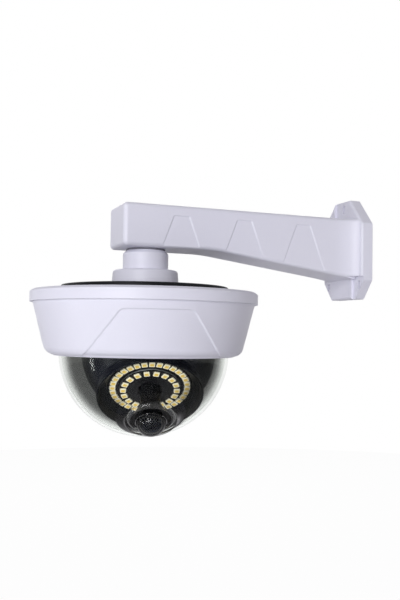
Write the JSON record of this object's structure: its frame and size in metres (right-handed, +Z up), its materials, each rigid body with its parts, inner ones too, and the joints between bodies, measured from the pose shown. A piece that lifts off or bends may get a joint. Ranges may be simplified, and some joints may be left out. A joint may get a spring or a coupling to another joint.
{
  "type": "dome camera on a wall arm",
  "caption": "Pendant dome camera on a cast wall arm: slotted wall plate, threaded neck, tapered housing, and a clear dome with a protruding lens eye and lamp rings on a turret.",
  "frame": {"origin": "on the wall plate's back face, midway between its two lower screw slots", "axes": "+X out of the plate's back, into the wall; +Z up; the arm runs to -X and the lens looks towards -Y"},
  "size_m": [0.3293, 0.21, 0.2333],
  "materials": {
    "white_paint": "fine powder coat, satin, faint lilac white",
    "black_plastic": "satin black moulding",
    "black_rubber": "matt black rubber",
    "clear_dome": "clear polycarbonate, glossy",
    "lens_glass": "coated dark lens glass",
    "filter_glass": "thin filter glass",
    "lamp_board": "black circuit board with yellow-white lamps",
    "green_board": "green circuit board",
    "steel": "zinc plated steel",
    "brass": "turned brass",
    "bare_aluminium": "bare machined aluminium",
    "white_plastic": "white moulded connector",
    "copper_coil": "wound copper coil in tape"
  },
  "bodies": {
    "root": {"bracket_arm": "white_paint", "neck_tube": "white_paint", "neck_gasket": "black_rubber", "neck_lock_nut": "steel", "pendant_cap": "white_paint", "cap_set_screw": "steel", "cap_screw_1": "steel", "cap_screw_2": "steel", "cap_screw_3": "steel", "top_plate": "black_plastic", "upper_cover": "white_paint", "cable_grommet": "black_rubber", "cover_screw_1": "steel", "cover_screw_2": "steel", "cover_screw_3": "steel", "lower_housing": "white_paint", "seam_gasket": "black_rubber", "glide_ring": "black_plastic", "turret_retainer": "steel", "retainer_screw_1": "steel", "retainer_screw_2": "steel", "retainer_screw_3": "steel", "main_board": "green_board", "board_spacer_1": "brass", "board_spacer_2": "brass", "board_spacer_3": "brass", "board_screw_1": "steel", "board_screw_2": "steel", "board_screw_3": "steel", "processor": "black_plastic", "processor_heatsink": "bare_aluminium", "cable_header": "white_plastic"},
    "turret": {"lamp_heatsink": "bare_aluminium", "heatsink_screw_1": "steel", "heatsink_screw_2": "steel", "heatsink_screw_3": "steel", "outer_lamp_board": "lamp_board", "inner_lamp_board": "lamp_board", "sensor_board": "green_board", "image_sensor": "lens_glass", "lens_holder": "black_plastic", "filter_solenoid": "copper_coil", "sensor_post_1": "brass", "sensor_post_2": "brass", "lens_hood": "black_rubber", "dome_cover": "clear_dome", "dome_seal": "black_rubber", "turret_ring": "black_plastic", "dome_screw_1": "steel", "dome_screw_2": "steel", "dome_screw_3": "steel", "liner_bowl": "black_plastic", "liner_screw_1": "steel", "liner_screw_2": "steel", "liner_screw_3": "steel"},
    "lens": {"lens_barrel": "black_plastic", "front_glass": "lens_glass", "rear_glass": "lens_glass"},
    "filter": {"filter_frame": "black_plastic", "filter_glass": "filter_glass"}
  },
  "joints": [
    {"name": "turret_pan", "type": "hinge", "parent": "root", "child": "turret", "pos_m": [-0.2243, 0, -0.0681], "axis": [0, 0, 1], "range_deg": [-175, 175]},
    {"name": "focus_turn", "type": "hinge", "parent": "turret", "child": "lens", "pos_m": [-0.2196, 0, -0.0681], "axis": [-0.1632, -0.6354, -0.7547], "range_deg": [-180, 180]},
    {"name": "filter_shift", "type": "slide", "parent": "turret", "child": "filter", "axis": [0.9686, -0.2487, 0], "range_m": [0, 0.0072]}
  ]
}
